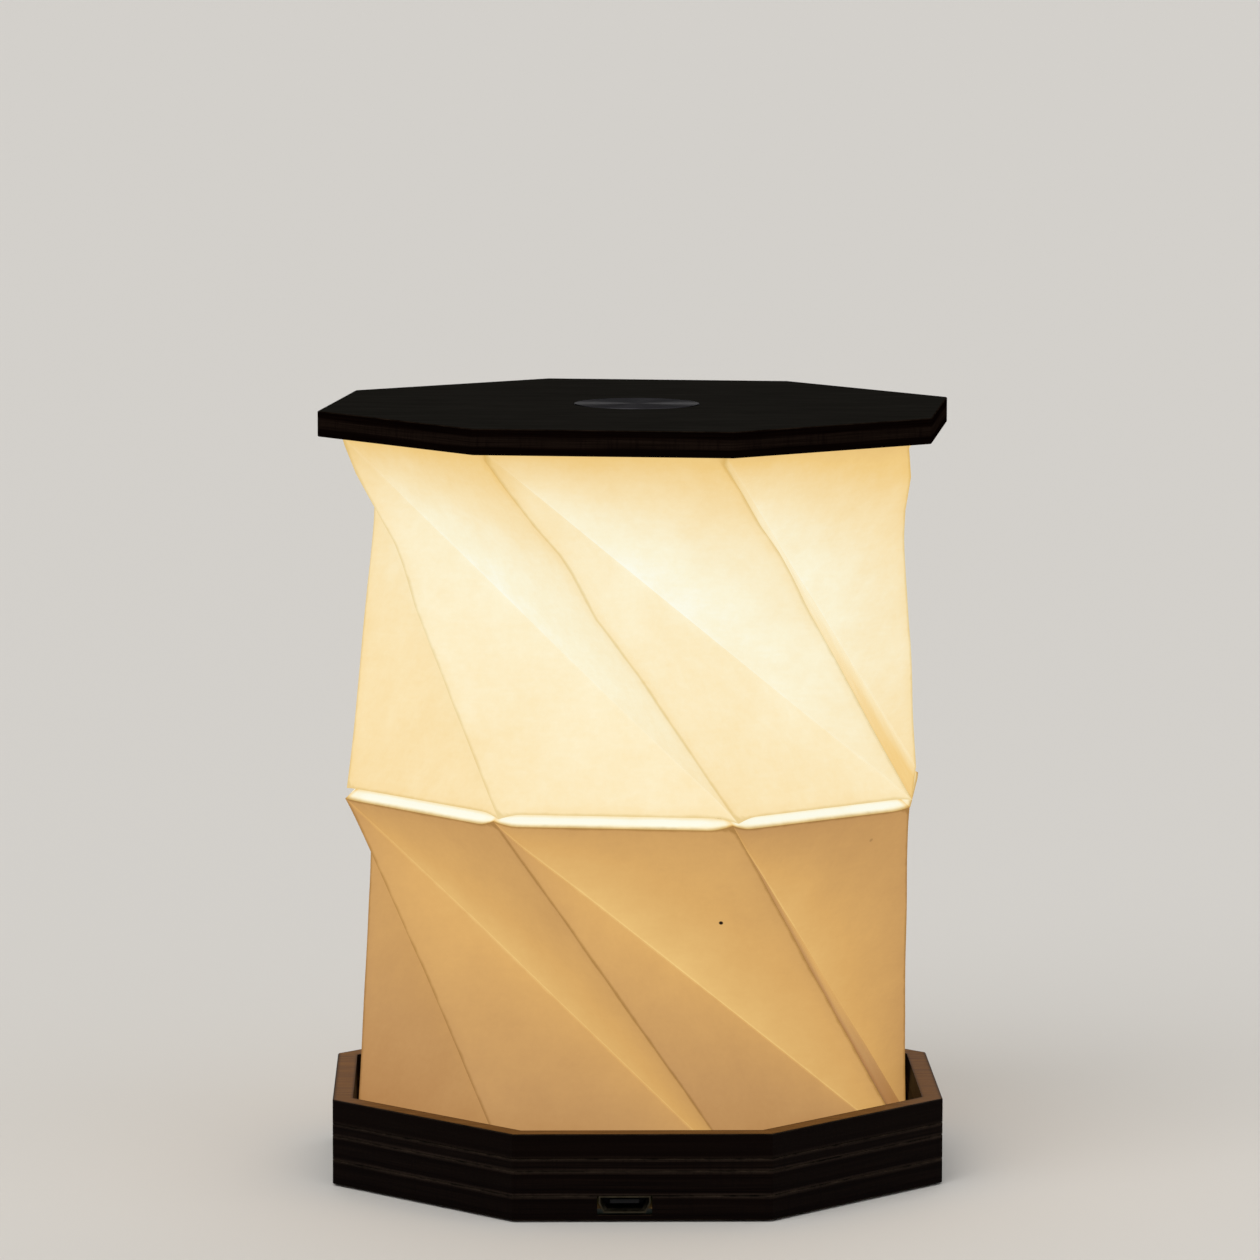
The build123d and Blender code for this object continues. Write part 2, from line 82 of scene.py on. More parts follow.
# in mm, at each corner: half of the pleat's opening, and the rise of its upper lip
CORNER_HALF_GAPS = (0.35, 0.3, 0.25, 0.4, 0.85, 0.16, 0.16, 0.6)
LIP_RISES = (-0.2, 0.0, 0.0, 0.25, 0.4, 0.25, -0.05, -0.28)
LOWER_LIP_SHARE = 0.6                 # how much of that the lower lip rises
GAP_SPREAD = 0.09                     # share of a side over which a corner pinches the pleat
GAP_POWER = 1.4                       # how sharply it does so
SKEW = radians(-1.1)                  # turn of the lower stage's paper against its wood
GRID = 40                             # mesh cells along a facet's edge
FOLD_ANGLE = radians(14)              # a turn between faces from which an edge is a fold


def add_object(name, data):
    """A new object in the scene."""
    made = bpy.data.objects.new(name, data)
    bpy.context.scene.collection.objects.link(made)
    return made


# ---------------------------------------------------------------- camera

CAMERA_AT = Vector((-0.02564, -1.06059, 0.21647))
CAMERA_TARGET = Vector((-0.00102, 0.00002, 0.08922))
CAMERA_LENS = 184.33
CAMERA_SENSOR = 36.0
CAMERA_ROLL = radians(0.14)


def make_camera():
    """The photograph's camera."""
    data = bpy.data.cameras.new("camera")
    data.lens = CAMERA_LENS
    data.sensor_width = CAMERA_SENSOR
    data.clip_start = 0.01
    data.clip_end = 60.0
    camera = add_object("camera", data)
    camera.location = CAMERA_AT
    camera.rotation_mode = "QUATERNION"
    look = (CAMERA_TARGET - CAMERA_AT).to_track_quat("-Z", "Y").to_matrix()
    camera.rotation_quaternion = (look @ Matrix.Rotation(CAMERA_ROLL, 3, "Z")).to_quaternion()
    bpy.context.scene.camera = camera


make_camera()

# ---------------------------------------------------------------- node helpers


class Shader:
    """A new material with one Principled shader, and short calls for the nodes that feed it."""

    def __init__(self, name, roughness=0.5, metallic=0.0, specular=0.5):
        self.material = bpy.data.materials.new(name)
        self.material.use_nodes = True
        self.tree = self.material.node_tree
        self.bsdf = self.tree.nodes["Principled BSDF"]
        self.bsdf.inputs["Roughness"].default_value = roughness
        self.bsdf.inputs["Metallic"].default_value = metallic
        self.bsdf.inputs["Specular IOR Level"].default_value = specular
        self.coords = self.node("ShaderNodeTexCoord").outputs["Object"]

    def node(self, kind, **settings):
        made = self.tree.nodes.new(kind)
        for key, value in settings.items():
            setattr(made, key, value)
        return made

    def plug(self, value, socket):
        """Puts a number, a colour or another node's output into a socket."""
        if isinstance(value, bpy.types.NodeSocket):
            self.tree.links.new(value, socket)
        elif isinstance(value, (tuple, list)) and len(value) == 3 and socket.type == "RGBA":
            socket.default_value = (*value, 1.0)
        else:
            socket.default_value = value

    def set(self, name, value):
        """Puts a value into one of the Principled shader's own sockets."""
        self.plug(value, self.bsdf.inputs[name])

    def math(self, operation, first, second=0.0, third=0.0, clamp=False):
        made = self.node("ShaderNodeMath", operation=operation, use_clamp=clamp)
        for value, socket in zip((first, second, third), made.inputs):
            self.plug(value, socket)
        return made.outputs[0]

    def vary(self, value, *patterns):
        """Value times patterns round 1, each given as a noise and how far the pattern swings."""
        for pattern, swing in patterns:
            factor = self.math("MULTIPLY_ADD", pattern, swing, 1 - swing / 2)
            value = self.math("MULTIPLY", value, factor)
        return value

    def mix(self, share, first, second):
        """The first colour at share 0 and the second at share 1."""
        made = self.node("ShaderNodeMix", data_type="RGBA")
        self.plug(share, made.inputs["Factor"])
        self.plug(first, made.inputs[6])
        self.plug(second, made.inputs[7])
        return made.outputs[2]

    def blend(self, first, second):
        """Product of two colours."""
        made = self.node("ShaderNodeMix", data_type="RGBA", blend_type="MULTIPLY")
        made.inputs["Factor"].default_value = 1.0
        self.plug(first, made.inputs[6])
        self.plug(second, made.inputs[7])
        return made.outputs[2]

    def smooth(self, value, low, high, to_low=0.0, to_high=1.0):
        """Smooth step of value from low to high."""
        made = self.node("ShaderNodeMapRange", interpolation_type="SMOOTHSTEP")
        names = ("Value", "From Min", "From Max", "To Min", "To Max")
        for name, given in zip(names, (value, low, high, to_low, to_high)):
            self.plug(given, made.inputs[name])
        return made.outputs["Result"]

    def stretched(self, scale, turn=0.0):
        """Object coordinates with their own scale along each axis."""
        made = self.node("ShaderNodeMapping")
        self.plug(self.coords, made.inputs["Vector"])
        made.inputs["Scale"].default_value = scale
        made.inputs["Rotation"].default_value = (0.0, 0.0, turn)
        return made.outputs["Vector"]

    def noise(self, scale, detail=3.0, rough=0.55, vector=None):
        made = self.node("ShaderNodeTexNoise")
        self.plug(self.coords if vector is None else vector, made.inputs["Vector"])
        made.inputs["Scale"].default_value = scale
        made.inputs["Detail"].default_value = detail
        made.inputs["Roughness"].default_value = rough
        return made.outputs["Fac"]

    def cells(self, scale, feature="F1"):
        made = self.node("ShaderNodeTexVoronoi", feature=feature)
        self.plug(self.coords, made.inputs["Vector"])
        made.inputs["Scale"].default_value = scale
        return made.outputs["Distance"]

    def attribute(self, name):
        return self.node("ShaderNodeAttribute", attribute_name=name).outputs["Fac"]

    def axis(self, vector, name):
        made = self.node("ShaderNodeSeparateXYZ")
        self.plug(vector, made.inputs[0])
        return made.outputs[name]

    def ramp(self, value, stops):
        """Colour ramp with stops of (position, colour)."""
        made = self.node("ShaderNodeValToRGB")
        self.plug(value, made.inputs["Fac"])
        elements = made.color_ramp.elements
        while len(elements) < len(stops):
            elements.new(0.5)
        for element, (position, colour) in zip(elements, stops):
            element.position = position
            element.color = (*colour, 1.0)
        return made.outputs["Color"]

    def tones(self, value, dark, light):
        """Colour from dark to light over the middle of a noise."""
        return self.ramp(value, [(0.3, dark), (0.7, light)])

    def bump(self, height, strength, distance=0.1 * MM, before=None):
        """Small relief on the surface, on top of the relief made before it."""
        made = self.node("ShaderNodeBump")
        made.inputs["Strength"].default_value = strength
        made.inputs["Distance"].default_value = distance
        self.plug(height, made.inputs["Height"])
        if before is not None:
            self.plug(before, made.inputs["Normal"])
        self.tree.links.new(made.outputs["Normal"], self.bsdf.inputs["Normal"])
        return made.outputs["Normal"]


def paint(shader, *nodes):
    """Gives carried-over CAD nodes their material."""
    for node in nodes:
        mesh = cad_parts[node].data
        mesh.materials.clear()
        mesh.materials.append(shader.material)


# ---------------------------------------------------------------- paper

PAPER_COLOUR = (0.13, 0.09, 0.05)
STUDIO_SHARE = 0.9                    # how much of its own colour the paper shows under the lamps
LIT_STOPS = (                         # green level, and colour of the lit paper as it is seen
    (0.22, (0.440, 0.220, 0.083)),
    (0.30, (0.535, 0.300, 0.120)),
    (0.42, (0.715, 0.420, 0.150)),
    (0.63, (0.910, 0.630, 0.250)),
    (0.79, (0.965, 0.790, 0.470)),
    (0.92, (0.985, 0.920, 0.685)),
    (0.99, (0.985, 0.980, 0.840)),
)
BRIGHTEST = 0.985                     # so that no light clips to white
FLECKS = (                            # place and strength of the dark flecks in the lower stage
    ((0.01281, -0.03853, 0.04647), 1.0),
    ((0.03765, -0.02508, 0.05785), 0.25),
)
FLECK_RADIUS = 0.42 * MM
FLECK_COLOUR = (0.01, 0.006, 0.004)


def paper_shader(name, shadow_colour, inward_light):
    """Translucent paper, lit from inside: its light is painted on as emission, and the glow attribute
    says how bright each place is, painted light and shade.
    """
    paper = Shader(name, roughness=0.9, specular=0.04)
    clouds = paper.noise(85.0, detail=4.0)
    blotches = paper.noise(240.0, detail=3.0)
    fibres = paper.noise(900.0, detail=5.0, rough=0.7)
    strands = paper.noise(1.0, detail=3.0, vector=paper.stretched((260.0, 260.0, 1500.0)))
    wobble = paper.noise(420.0, detail=2.0)

    # lines along the creases: a soft shadow on the outward folds, a faint light on the inward ones
    sway = paper.math("MULTIPLY", paper.math("SUBTRACT", wobble, 0.5), 0.5)
    outward = paper.math("ADD", paper.attribute("outward_crease"), sway)
    inward = paper.math("ADD", paper.attribute("inward_crease"), sway)
    outward_line = paper.smooth(outward, 0.0, 0.6, 1.0, 0.0)
    inward_line = paper.smooth(inward, 0.0, 0.42, 1.0, 0.0)
    outward_halo = paper.smooth(outward, 0.3, 2.4, 1.0, 0.0)
    shadow = paper.mix(outward_line, (1.0, 1.0, 1.0), shadow_colour)

    # painted light: the lamp's light that comes through the paper, as emission
    glow = paper.attribute("glow")
    glow = paper.vary(glow, (clouds, 0.13), (blotches, 0.08), (fibres, 0.07), (strands, 0.04))
    glow = paper.math("MULTIPLY", glow, paper.math("MULTIPLY_ADD", outward_halo, -0.03, 1.0))
    glow = paper.math("MULTIPLY", glow, paper.math("MULTIPLY_ADD", inward_line, inward_light, 1.0))
    glow = paper.math("MINIMUM", glow, BRIGHTEST)

    # what the studio's light adds is taken off, so that the paper shows the colours of LIT_STOPS
    reflected = [STUDIO_SHARE * part for part in PAPER_COLOUR]
    stops = [(0.0, (0.0, 0.0, 0.0))]
    for level, seen in LIT_STOPS:
        stops.append((level, [max(0.0, s - r) for s, r in zip(seen, reflected)]))
    lit = paper.blend(paper.ramp(glow, stops), shadow)

    specks = 0.0
    for place, strength in FLECKS:
        gap = paper.node("ShaderNodeVectorMath", operation="DISTANCE")
        paper.plug(paper.coords, gap.inputs[0])
        gap.inputs[1].default_value = place
        near = paper.smooth(gap.outputs["Value"], 0.6 * FLECK_RADIUS, FLECK_RADIUS, strength, 0.0)
        specks = paper.math("ADD", specks, near)
    lit = paper.mix(specks, lit, FLECK_COLOUR)

    # the light that it reflects
    tint = paper.vary(1.0, (clouds, 0.16), (fibres, 0.14))
    tint = paper.math("MULTIPLY", tint, paper.math("MULTIPLY_ADD", specks, -0.9, 1.0))
    base = paper.node("ShaderNodeVectorMath", operation="SCALE")
    base.inputs[0].default_value = PAPER_COLOUR
    paper.plug(tint, base.inputs["Scale"])
    paper.set("Base Color", paper.blend(base.outputs["Vector"], shadow))
    paper.set("Emission Color", lit)
    paper.set("Emission Strength", 1.0)
    grain = paper.math("MULTIPLY_ADD", fibres, 0.6, paper.math("MULTIPLY", strands, 0.4))
    paper.bump(grain, 0.25, distance=0.06 * MM)
    return paper


def corners(turn, z, radius):
    """The eight corners of a level ring, as rows of x, y, z."""
    angles = HALF_STEP + turn + STEP * np.arange(SIDES)
    return np.stack([radius * np.cos(angles), radius * np.sin(angles), np.full(SIDES, z)], 1)


def rise(x):
    """Climbs from 0 to 1 at x = 1 and falls slowly after it."""
    return x * exp(1 - x)


def slope(x, start, end):
    """0 up to the start, 1 from the end on, and straight between them."""
    return min(1.0, max(0.0, (x - start) / (end - start)))


# How bright the paper's painted light is, from 0 to 1, with its painted shade. v goes from 0 at a
# stage's upper edge to 1 at its lower edge. across is 0 along a sector's inward crease and 1 at the
# third corner of each facet beside it. One of the two facets leans out and the other in. The tables give
# each sector's
# brightness against the others: painted light and shade of how each sector looks from the front.
UPPER_OUT = (1.0, 1.0, 1.0, 1.0, 1.0, 1.01, 0.955, 0.97)
UPPER_IN = (1.0, 1.0, 1.0, 0.92, 1.0, 0.98, 0.985, 1.0)
LOWER_OUT = (1.0, 1.0, 1.0, 0.97, 1.04, 1.115, 0.98, 0.97)
LOWER_IN = (1.0, 1.0, 1.0, 0.875, 0.985, 0.965, 1.0, 1.0)
# painted shade: this sector's facets are painted darker, as they look from the front
DIM_SIDE = 6                          # sector whose inner facet is seen edge-on, so it looks darker

UPPER_PEAK = 0.36                     # v at which the upper facets that lean out are brightest
UPPER_PEAK_GLOW = 0.95
UPPER_TOP_LOSS = 0.34                 # from there up to the plate
UPPER_FOOT_LOSS = 0.28                # and far below it
UPPER_EDGE_LOSS = 0.19                # beside the outward crease
UPPER_EDGE_PEAK = 0.28                # v at which that loss is greatest
UPPER_IN_GLOW = 0.89                  # the facets that lean in
UPPER_IN_PEAK = 0.35
UPPER_IN_TOP_LOSS = 1.85              # times the square of the way up from the peak
UPPER_IN_FOOT_LOSS = 0.092            # times the way down from it
UPPER_IN_EDGE_LOSS = 0.035

LOWER_GLOW = 0.328                    # the lower facets that lean out
LOWER_GAIN = 0.155                    # what the light through the middle frame adds at most
LOWER_PEAK = 0.38
LOWER_SPREAD = 0.52                   # how far across it reaches
LOWER_EDGE_LOSS = 0.2
LOWER_FOOT = 0.55                     # v from which the foot gets darker
LOWER_FOOT_LOSS = 0.08
LOWER_IN_GLOW = 0.447                 # the facets that lean in
LOWER_IN_TOP = 0.3
LOWER_IN_TOP_LOSS = 1.4
LOWER_IN_FOOT = 0.35
LOWER_IN_FOOT_LOSS = 0.2
LOWER_IN_EDGE_LOSS = 0.055
LOWER_IN_EDGE_WIDTH = 0.2


def upper_glow(i, u, v, leans_out):
    """Brightness of the upper stage: dim under the plate, brightest a third of the way down."""
    across = abs(u - v)
    if leans_out:
        loss = UPPER_TOP_LOSS if v < UPPER_PEAK else UPPER_FOOT_LOSS
        inner = UPPER_PEAK_GLOW - loss * (1 - rise(v / UPPER_PEAK))
        return UPPER_OUT[i] * (inner - UPPER_EDGE_LOSS * across * rise(v / UPPER_EDGE_PEAK))
    top_loss = UPPER_IN_TOP_LOSS * max(0.0, UPPER_IN_PEAK - v) ** 2
    foot_loss = UPPER_IN_FOOT_LOSS * max(0.0, v - UPPER_IN_PEAK)
    edge_loss = UPPER_IN_EDGE_LOSS * across ** 0.6
    glow = UPPER_IN[i] * (UPPER_IN_GLOW - top_loss - foot_loss - edge_loss)
    if i == DIM_SIDE:
        # painted shade: darkest at its foot, away from the inward crease
        glow *= 1 - 0.21 * slope(v, 0.3, 0.9) * slope(across, 0.0, 0.45)
    return glow


def lower_glow(i, u, v, leans_out):
    """Brightness of the lower stage, which gets only what the middle frame lets through."""
    across = abs(u - v)
    if leans_out:
        inner = LOWER_GLOW + LOWER_GAIN * rise(v / LOWER_PEAK) * exp(-across / LOWER_SPREAD)
        edge_loss = LOWER_EDGE_LOSS * across * v * v
        foot_loss = LOWER_FOOT_LOSS * max(0.0, v - LOWER_FOOT)
        return LOWER_OUT[i] * (inner - edge_loss - foot_loss)
    top_loss = LOWER_IN_TOP_LOSS * max(0.0, LOWER_IN_TOP - v) ** 2
    foot_loss = LOWER_IN_FOOT_LOSS * max(0.0, v - LOWER_IN_FOOT)
    edge_loss = LOWER_IN_EDGE_LOSS * (1 - exp(-across / LOWER_IN_EDGE_WIDTH))
    glow = LOWER_IN[i] * (LOWER_IN_GLOW - top_loss - foot_loss - edge_loss)
    if i == DIM_SIDE:
        # painted shade: darker at its top, at its foot and along the outward crease
        crease_loss = 0.36 * slope(v, 0.0, 0.5) * exp(-(u / 0.17) ** 2)
        glow *= 0.84 + 0.21 * slope(v, 0.2, 0.5) - crease_loss
        glow *= 1 - 0.21 * slope(v, 0.6, 0.85)
    return glow


# the outward creases as they were folded by hand: offsets in mm from straight, down the crease
CREASE_PLACES = (0.0, 0.1, 0.2, 0.28, 0.33, 0.45, 0.6, 0.8, 1.0)
CREASE_INWARD = (0.0, -0.2, 0.9, 1.25, 1.2, 0.8, 0.55, 0.4, 0.0)
FIRST_INWARD = (0.0, 0.7, 1.05, 1.25, 1.2, 0.8, 0.55, 0.4, 0.0)
CREASE_SIDEWAYS = {
    4: (-0.9, -0.1, -0.4, 0.85, 0.6, -0.25, 0.0, -0.05, 0.0),
    5: (-1.0, -0.55, -0.5, 0.5, 0.4, -0.55, 0.2, 0.1, 0.0),
    6: (-1.2, -0.75, -0.15, 1.0, 1.1, 0.55, 0.5, 0.4, 0.0),
    7: (0.0, 0.1, 0.3, 0.6, 0.7, 0.4, 0.2, 0.1, 0.0),
}
OTHER_SIDEWAYS = (-0.8, -0.4, 0.1, 0.7, 0.85, 0.3, 0.2, 0.1, 0.0)
CREASE_SAG = 0.45 * MM                # how far the lower stage's creases hang in
WAVER = 0.2 * MM                      # small unevenness of every outward crease
OUT_FADE = 2.0                        # how fast a crease's bow fades over the facet that leans out
IN_FADE = 1.3                         # and over the one that leans in
SWELL = 0.28 * MM                     # soft waves of the facets
SWELL_SCALE = 55.0
LIP_FADE = 8                          # how fast the wave of a lip fades along the wall


class Stage:
    """One twisted stage of folded paper: a ring of facets in pairs, with a hem or tab at each end.

    Its rows of points go from the upper end down. Each row's level says which part of the paper it
    belongs to, and how far along that part it lies.
    """

    def __init__(self, name, high, low, bowed, glow, pleat_above, seed):
        self.name = name
        self.high = high
        self.low = low
        self.bowed = bowed
        self.glow = glow
        self.pleat_above = pleat_above
        self.seed = seed
        self.rows = []
        self.levels = []

    def crease(self, i, v):
        """How far an outward crease lies from straight, as a vector."""
        start = self.high[i % SIDES]
        point = start + v * (self.low[(i + 1) % SIDES] - start)
        angle = atan2(point[1], point[0])
        sideways = np.array((-sin(angle), cos(angle), 0.0))
        inward = np.array((-cos(angle), -sin(angle), 0.0))
        waver = WAVER * sin(pi * v) * noise.noise(Vector((self.seed, 1.7 * (i % SIDES), 11.0 * v)))
        if not self.bowed:
            return sideways * waver + inward * CREASE_SAG * max(0.0, sin(pi * v)) ** 0.6
        offsets = CREASE_SIDEWAYS.get(i % SIDES, OTHER_SIDEWAYS)
        bow = np.interp(v, CREASE_PLACES, offsets) * MM
        depths = FIRST_INWARD if i % SIDES == 0 else CREASE_INWARD
        return sideways * (bow + waver) + inward * np.interp(v, CREASE_PLACES, depths) * MM

    def point(self, i, u, v):
        """Point of the wall, u along the upper edge's side and v down."""
        a = self.high[i]
        b = self.high[(i + 1) % SIDES]
        c = self.low[(i + 2) % SIDES]
        d = self.low[(i + 1) % SIDES]
        if u >= v:
            place = a + u * (b - a) + v * (c - b)
            weight = ((u - v) / (1 - v)) ** OUT_FADE if v < 1 else 0.0
            place = place + self.crease(i + 1, v) * weight
        else:
            place = a + v * (d - a) + u * (c - d)
            place = place + self.crease(i, v) * (1 - u / v) ** IN_FADE
        swell = SWELL * noise.noise(Vector(place) * SWELL_SCALE + Vector((self.seed, 0, 0)))
        outward = np.array((place[0], place[1], 0.0)) / np.hypot(place[0], place[1])
        return place + outward * swell * sin(pi * v)

    def wall(self, lift_high, lift_low):
        """Adds the wall's rows, from the upper edge down, with each end's edge lifted by a wave."""
        for row in range(GRID + 1):
            v = row / GRID
            ring = []
            for i in range(SIDES):
                for column in range(GRID):
                    u = column / GRID
                    place = self.point(i, u, v)
                    place[2] += lift_high(i, u) * (1 - v) ** LIP_FADE
                    place[2] += lift_low(i + 1, u) * v ** LIP_FADE
                    ring.append(place)
            self.rows.append(ring)
            self.levels.append(("wall", v))

    def flange(self, edge_corners, first, steps, radius, level, kind):
        """Rows of a hem, fold or tab from a smaller ring out to a corner ring, which isn't included."""
        made = []
        for step in range(steps):
            t = step / steps
            ring = []
            for i in range(SIDES):
                for column in range(GRID):
                    u = column / GRID
                    j = (i + first) % SIDES
                    k = (j + 1) % SIDES
                    place = edge_corners[j] + u * (edge_corners[k] - edge_corners[j])
                    shrink = t + (1 - t) * radius / shade_radius
                    ring.append(np.array((place[0] * shrink, place[1] * shrink, level(j, u, t))))
            made.append(ring)
        return made, [(kind, step / steps) for step in range(steps)]


def facet_scales(stage):
    """Distances in mm from each crease for one unit of u or v, in facets that lean out and in."""
    a, b, c, d = stage.high[0], stage.high[1], stage.low[2], stage.low[1]

    def off_line(move, line):
        return np.linalg.norm(np.cross(move, line)) / np.linalg.norm(line) / MM

    return {
        "out_outward": off_line(b - a, c - b),
        "out_inward": off_line(b - a, c - a),
        "in_outward": off_line(c - d, d - a),
        "in_inward": off_line(d - a, c - a),
    }


FAR = 9.0                             # crease distance, in mm, where there is no crease
TAB_GLOW = 0.3
HEM_GLOW = 0.8
RIM_GLOW = 0.5                        # of the cut edges of the paper
FOLD_WIDTH = 2.0                      # width of the pleat's lower side, in mm
WALL = 59.0                           # height of a wall, in mm
# painted shade: this side of the pleat is painted darker, as it looks from the front
EDGE_ON_SIDE = 7                      # side of the pleat that is seen edge-on, so it looks darker
# the shadow of this crease widens down the fold, and hides the fold beside it
THICK_CREASE = ("shade_lower_paper", 6)


def fold_glow(i, u, t):
    """Brightness inside the pleat, darker at its corners. t goes down and out from its inner fold."""
    end = min(u, 1 - u)
    glow = 0.79 + 0.23 * slope(t, 0.0, 0.3) - 0.35 * slope(t, 0.6, 1.0) ** 1.5
    glow -= 0.08 * (1 - slope(end, 0.0, 0.12)) + 0.20 * (1 - slope(end, 0.0, 0.025))
    return 0.88 * glow if i == EDGE_ON_SIDE else glow


def corner_values(stage, scales, kind, i, u, v, leans_out):
    """Glow and crease distances at one corner of a face."""
    if kind == "fold":
        return fold_glow(i, u, v), (1 - v) * FOLD_WIDTH, FAR
    if kind != "wall":
        return (TAB_GLOW if kind == "tab" else HEM_GLOW), FAR, FAR
    glow = stage.glow(i, u, v, leans_out)
    pleat = (v if stage.pleat_above else 1 - v) * WALL
    if leans_out:
        outward = (1 - u) * scales["out_outward"]
        inward = abs(u - v) * scales["out_inward"]
    else:
        outward = u * scales["in_outward"]
        inward = abs(u - v) * scales["in_inward"]
    if (stage.name, i) == THICK_CREASE:
        inward += 0.5 * slope(v, 0.3, 0.5)
        if not leans_out:
            outward *= 1 - 0.62 * slope(v, 0.5, 0.7)
    return glow, min(pleat, outward), inward


def stage_faces(stage):
    """Faces between a stage's rows, and the glow and crease distances at their corners."""
    columns = SIDES * GRID
    scales = facet_scales(stage)
    faces = []
    values = []
    for row in range(len(stage.rows) - 1):
        (kind, v0), (kind_below, v1) = stage.levels[row], stage.levels[row + 1]
        if kind == "wall":
            kind = kind_below
        elif kind_below == "wall":
            v1 = 1.0
        for column in range(columns):
            i = column // GRID
            u0 = (column % GRID) / GRID
            u1 = u0 + 1 / GRID
            right = (column + 1) % columns
            ids = (row * columns + column, row * columns + right)
            ids += ((row + 1) * columns + right, (row + 1) * columns + column)
            spots = ((u0, v0), (u1, v0), (u1, v1), (u0, v1))
            folded = kind == "wall" and abs(u0 - v0) < 0.5 / GRID
            splits = ((0, 1, 2), (0, 2, 3)) if folded else ((0, 1, 2, 3),)
            for split in splits:
                out = sum(spots[s][0] - spots[s][1] for s in split) > 0
                faces.append([ids[s] for s in split])
                values.append([corner_values(stage, scales, kind, i, *spots[s], out) for s in split])
    return faces, values


def point_normals(points, faces):
    """Unit normals at the points of one side of the paper."""
    normals = np.zeros_like(points)
    for face in faces:
        p = points[face]
        normal = np.cross(p[2] - p[0], p[-1] - p[1])
        for index in face:
            normals[index] += normal
    return normals / np.linalg.norm(normals, axis=1)[:, None]


def thicken(stage, faces, values):
    """Adds the inner side, one paper thickness in, and the paper's cut edges."""
    columns = SIDES * GRID
    outer = np.array(stage.rows).reshape(-1, 3)
    normals = point_normals(outer, faces)
    wall_row = next(r for r, level in enumerate(stage.levels) if level[0] == "wall") + GRID // 2
    sample = wall_row * columns
    points_in = normals[sample] @ (outer[sample] * np.array((1, 1, 0))) <= 0
    if not points_in:
        normals = -normals
        faces = [face[::-1] for face in faces]
        values = [value[::-1] for value in values]
    count = len(outer)
    inner_faces = [[index + count for index in face[::-1]] for face in faces]
    inner_values = [value[::-1] for value in values]
    edges = []
    for row in (0, len(stage.rows) - 1):
        for column in range(columns):
            here = row * columns + column
            there = row * columns + (column + 1) % columns
            ring = [here, there, there + count, here + count]
            edges.append(ring if (row == 0) == points_in else ring[::-1])
    edge_values = [[(RIM_GLOW, FAR, FAR)] * 4] * len(edges)
    points = np.vstack([outer, outer + normals * PAPER])
    return points, faces + inner_faces + edges, values + inner_values + edge_values


def build_stage(stage, shader):
    """The stage as an object, with its glow and crease distances as attributes of the mesh."""
    points, faces, values = thicken(stage, *stage_faces(stage))
    mesh = bpy.data.meshes.new(stage.name)
    mesh.from_pydata(points.tolist(), [], faces)
    flat = np.array([spot for value in values for spot in value], np.float32)
    for index, name in enumerate(("glow", "outward_crease", "inward_crease")):
        layer = mesh.attributes.new(name, "FLOAT", "CORNER")
        layer.data.foreach_set("value", np.ascontiguousarray(flat[:, index]))
    mesh.materials.append(shader.material)
    mesh.validate(verbose=False)
    mesh.update()
    mesh.shade_smooth()
    mesh.set_sharp_from_angle(angle=FOLD_ANGLE)
    return add_object(stage.name, mesh)


def half_gap(j, u):
    """Half of the pleat's opening along the side after corner j, pinched at the corners."""
    first = CORNER_HALF_GAPS[j % SIDES] * MM - OPEN_HALF_GAP
    second = CORNER_HALF_GAPS[(j + 1) % SIDES] * MM - OPEN_HALF_GAP
    near_first = max(0.0, 1 - u / GAP_SPREAD) ** GAP_POWER
    near_second = max(0.0, 1 - (1 - u) / GAP_SPREAD) ** GAP_POWER
    return OPEN_HALF_GAP + first * near_first + second * near_second


def lip_rise(j, u):
    """How far the pleat's upper lip lies above its mean height."""
    return ((1 - u) * LIP_RISES[j % SIDES] + u * LIP_RISES[(j + 1) % SIDES]) * MM


def upper_lip(j, u):
    """Height of the upper lip over the middle of the shade."""
    return lip_rise(j, u) + half_gap(j, u)


def lower_lip(j, u):
    """Height of the lower lip over the middle of the shade."""
    return LOWER_LIP_SHARE * lip_rise(j, u) - half_gap(j, u)


HEM_BEND = 0.7                        # share of the hem, from its inner edge, that lies level
tab_radius = shade_radius - TAB_WIDTH / FLAT
hem_radius = frame_radius - TAB_WIDTH / FLAT
fold_radius = shade_radius - PLEAT_DEPTH / FLAT
fold_share = (fold_radius - hem_radius) / (shade_radius - hem_radius)


def hem_level(j, u, t):
    """Height of the upper stage's hem: level over the middle frame, then out to the upper lip."""
    level = frame_high.z + HEM_GAP
    lip = mid_height + upper_lip(j, u)
    return level + (lip - level) * slope(t, HEM_BEND, 1.0)


def fold_level(j, u, t):
    """Height of the pleat's lower side, from its inner fold under the hem down to the lower lip."""
    inner = hem_level(j, u, fold_share) - FOLD_GAP
    lip = mid_height + lower_lip(j, u)
    return inner + (lip - inner) * t


def no_lift(j, u):
    """Height of an end that has no wave."""
    return 0.0


def make_lower_stage():
    """From the floor panel's clamp up to the pleat's lower lip, and in to the pleat's inner fold."""
    bottom = floor_low.z + TAB_GAP
    stage = Stage(
        "shade_lower_paper",
        corners(MID_TURN + SKEW, mid_height, shade_radius),
        corners(SKEW, bottom, shade_radius),
        bowed=False, glow=lower_glow, pleat_above=True, seed=3.1,
    )
    stage.rows, stage.levels = stage.flange(stage.high, 0, 8, fold_radius, fold_level, "fold")
    stage.wall(lower_lip, no_lift)
    rows, levels = stage.flange(stage.low, 1, 3, tab_radius, lambda j, u, t: bottom, "tab")
    stage.rows += rows[::-1]
    stage.levels += levels[::-1]
    piece = build_stage(stage, paper_shader("lit_paper_lower", (0.70, 0.66, 0.56), 0.15))
    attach(piece, "lower_shade")
    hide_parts("shade_lower")
    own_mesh(piece)


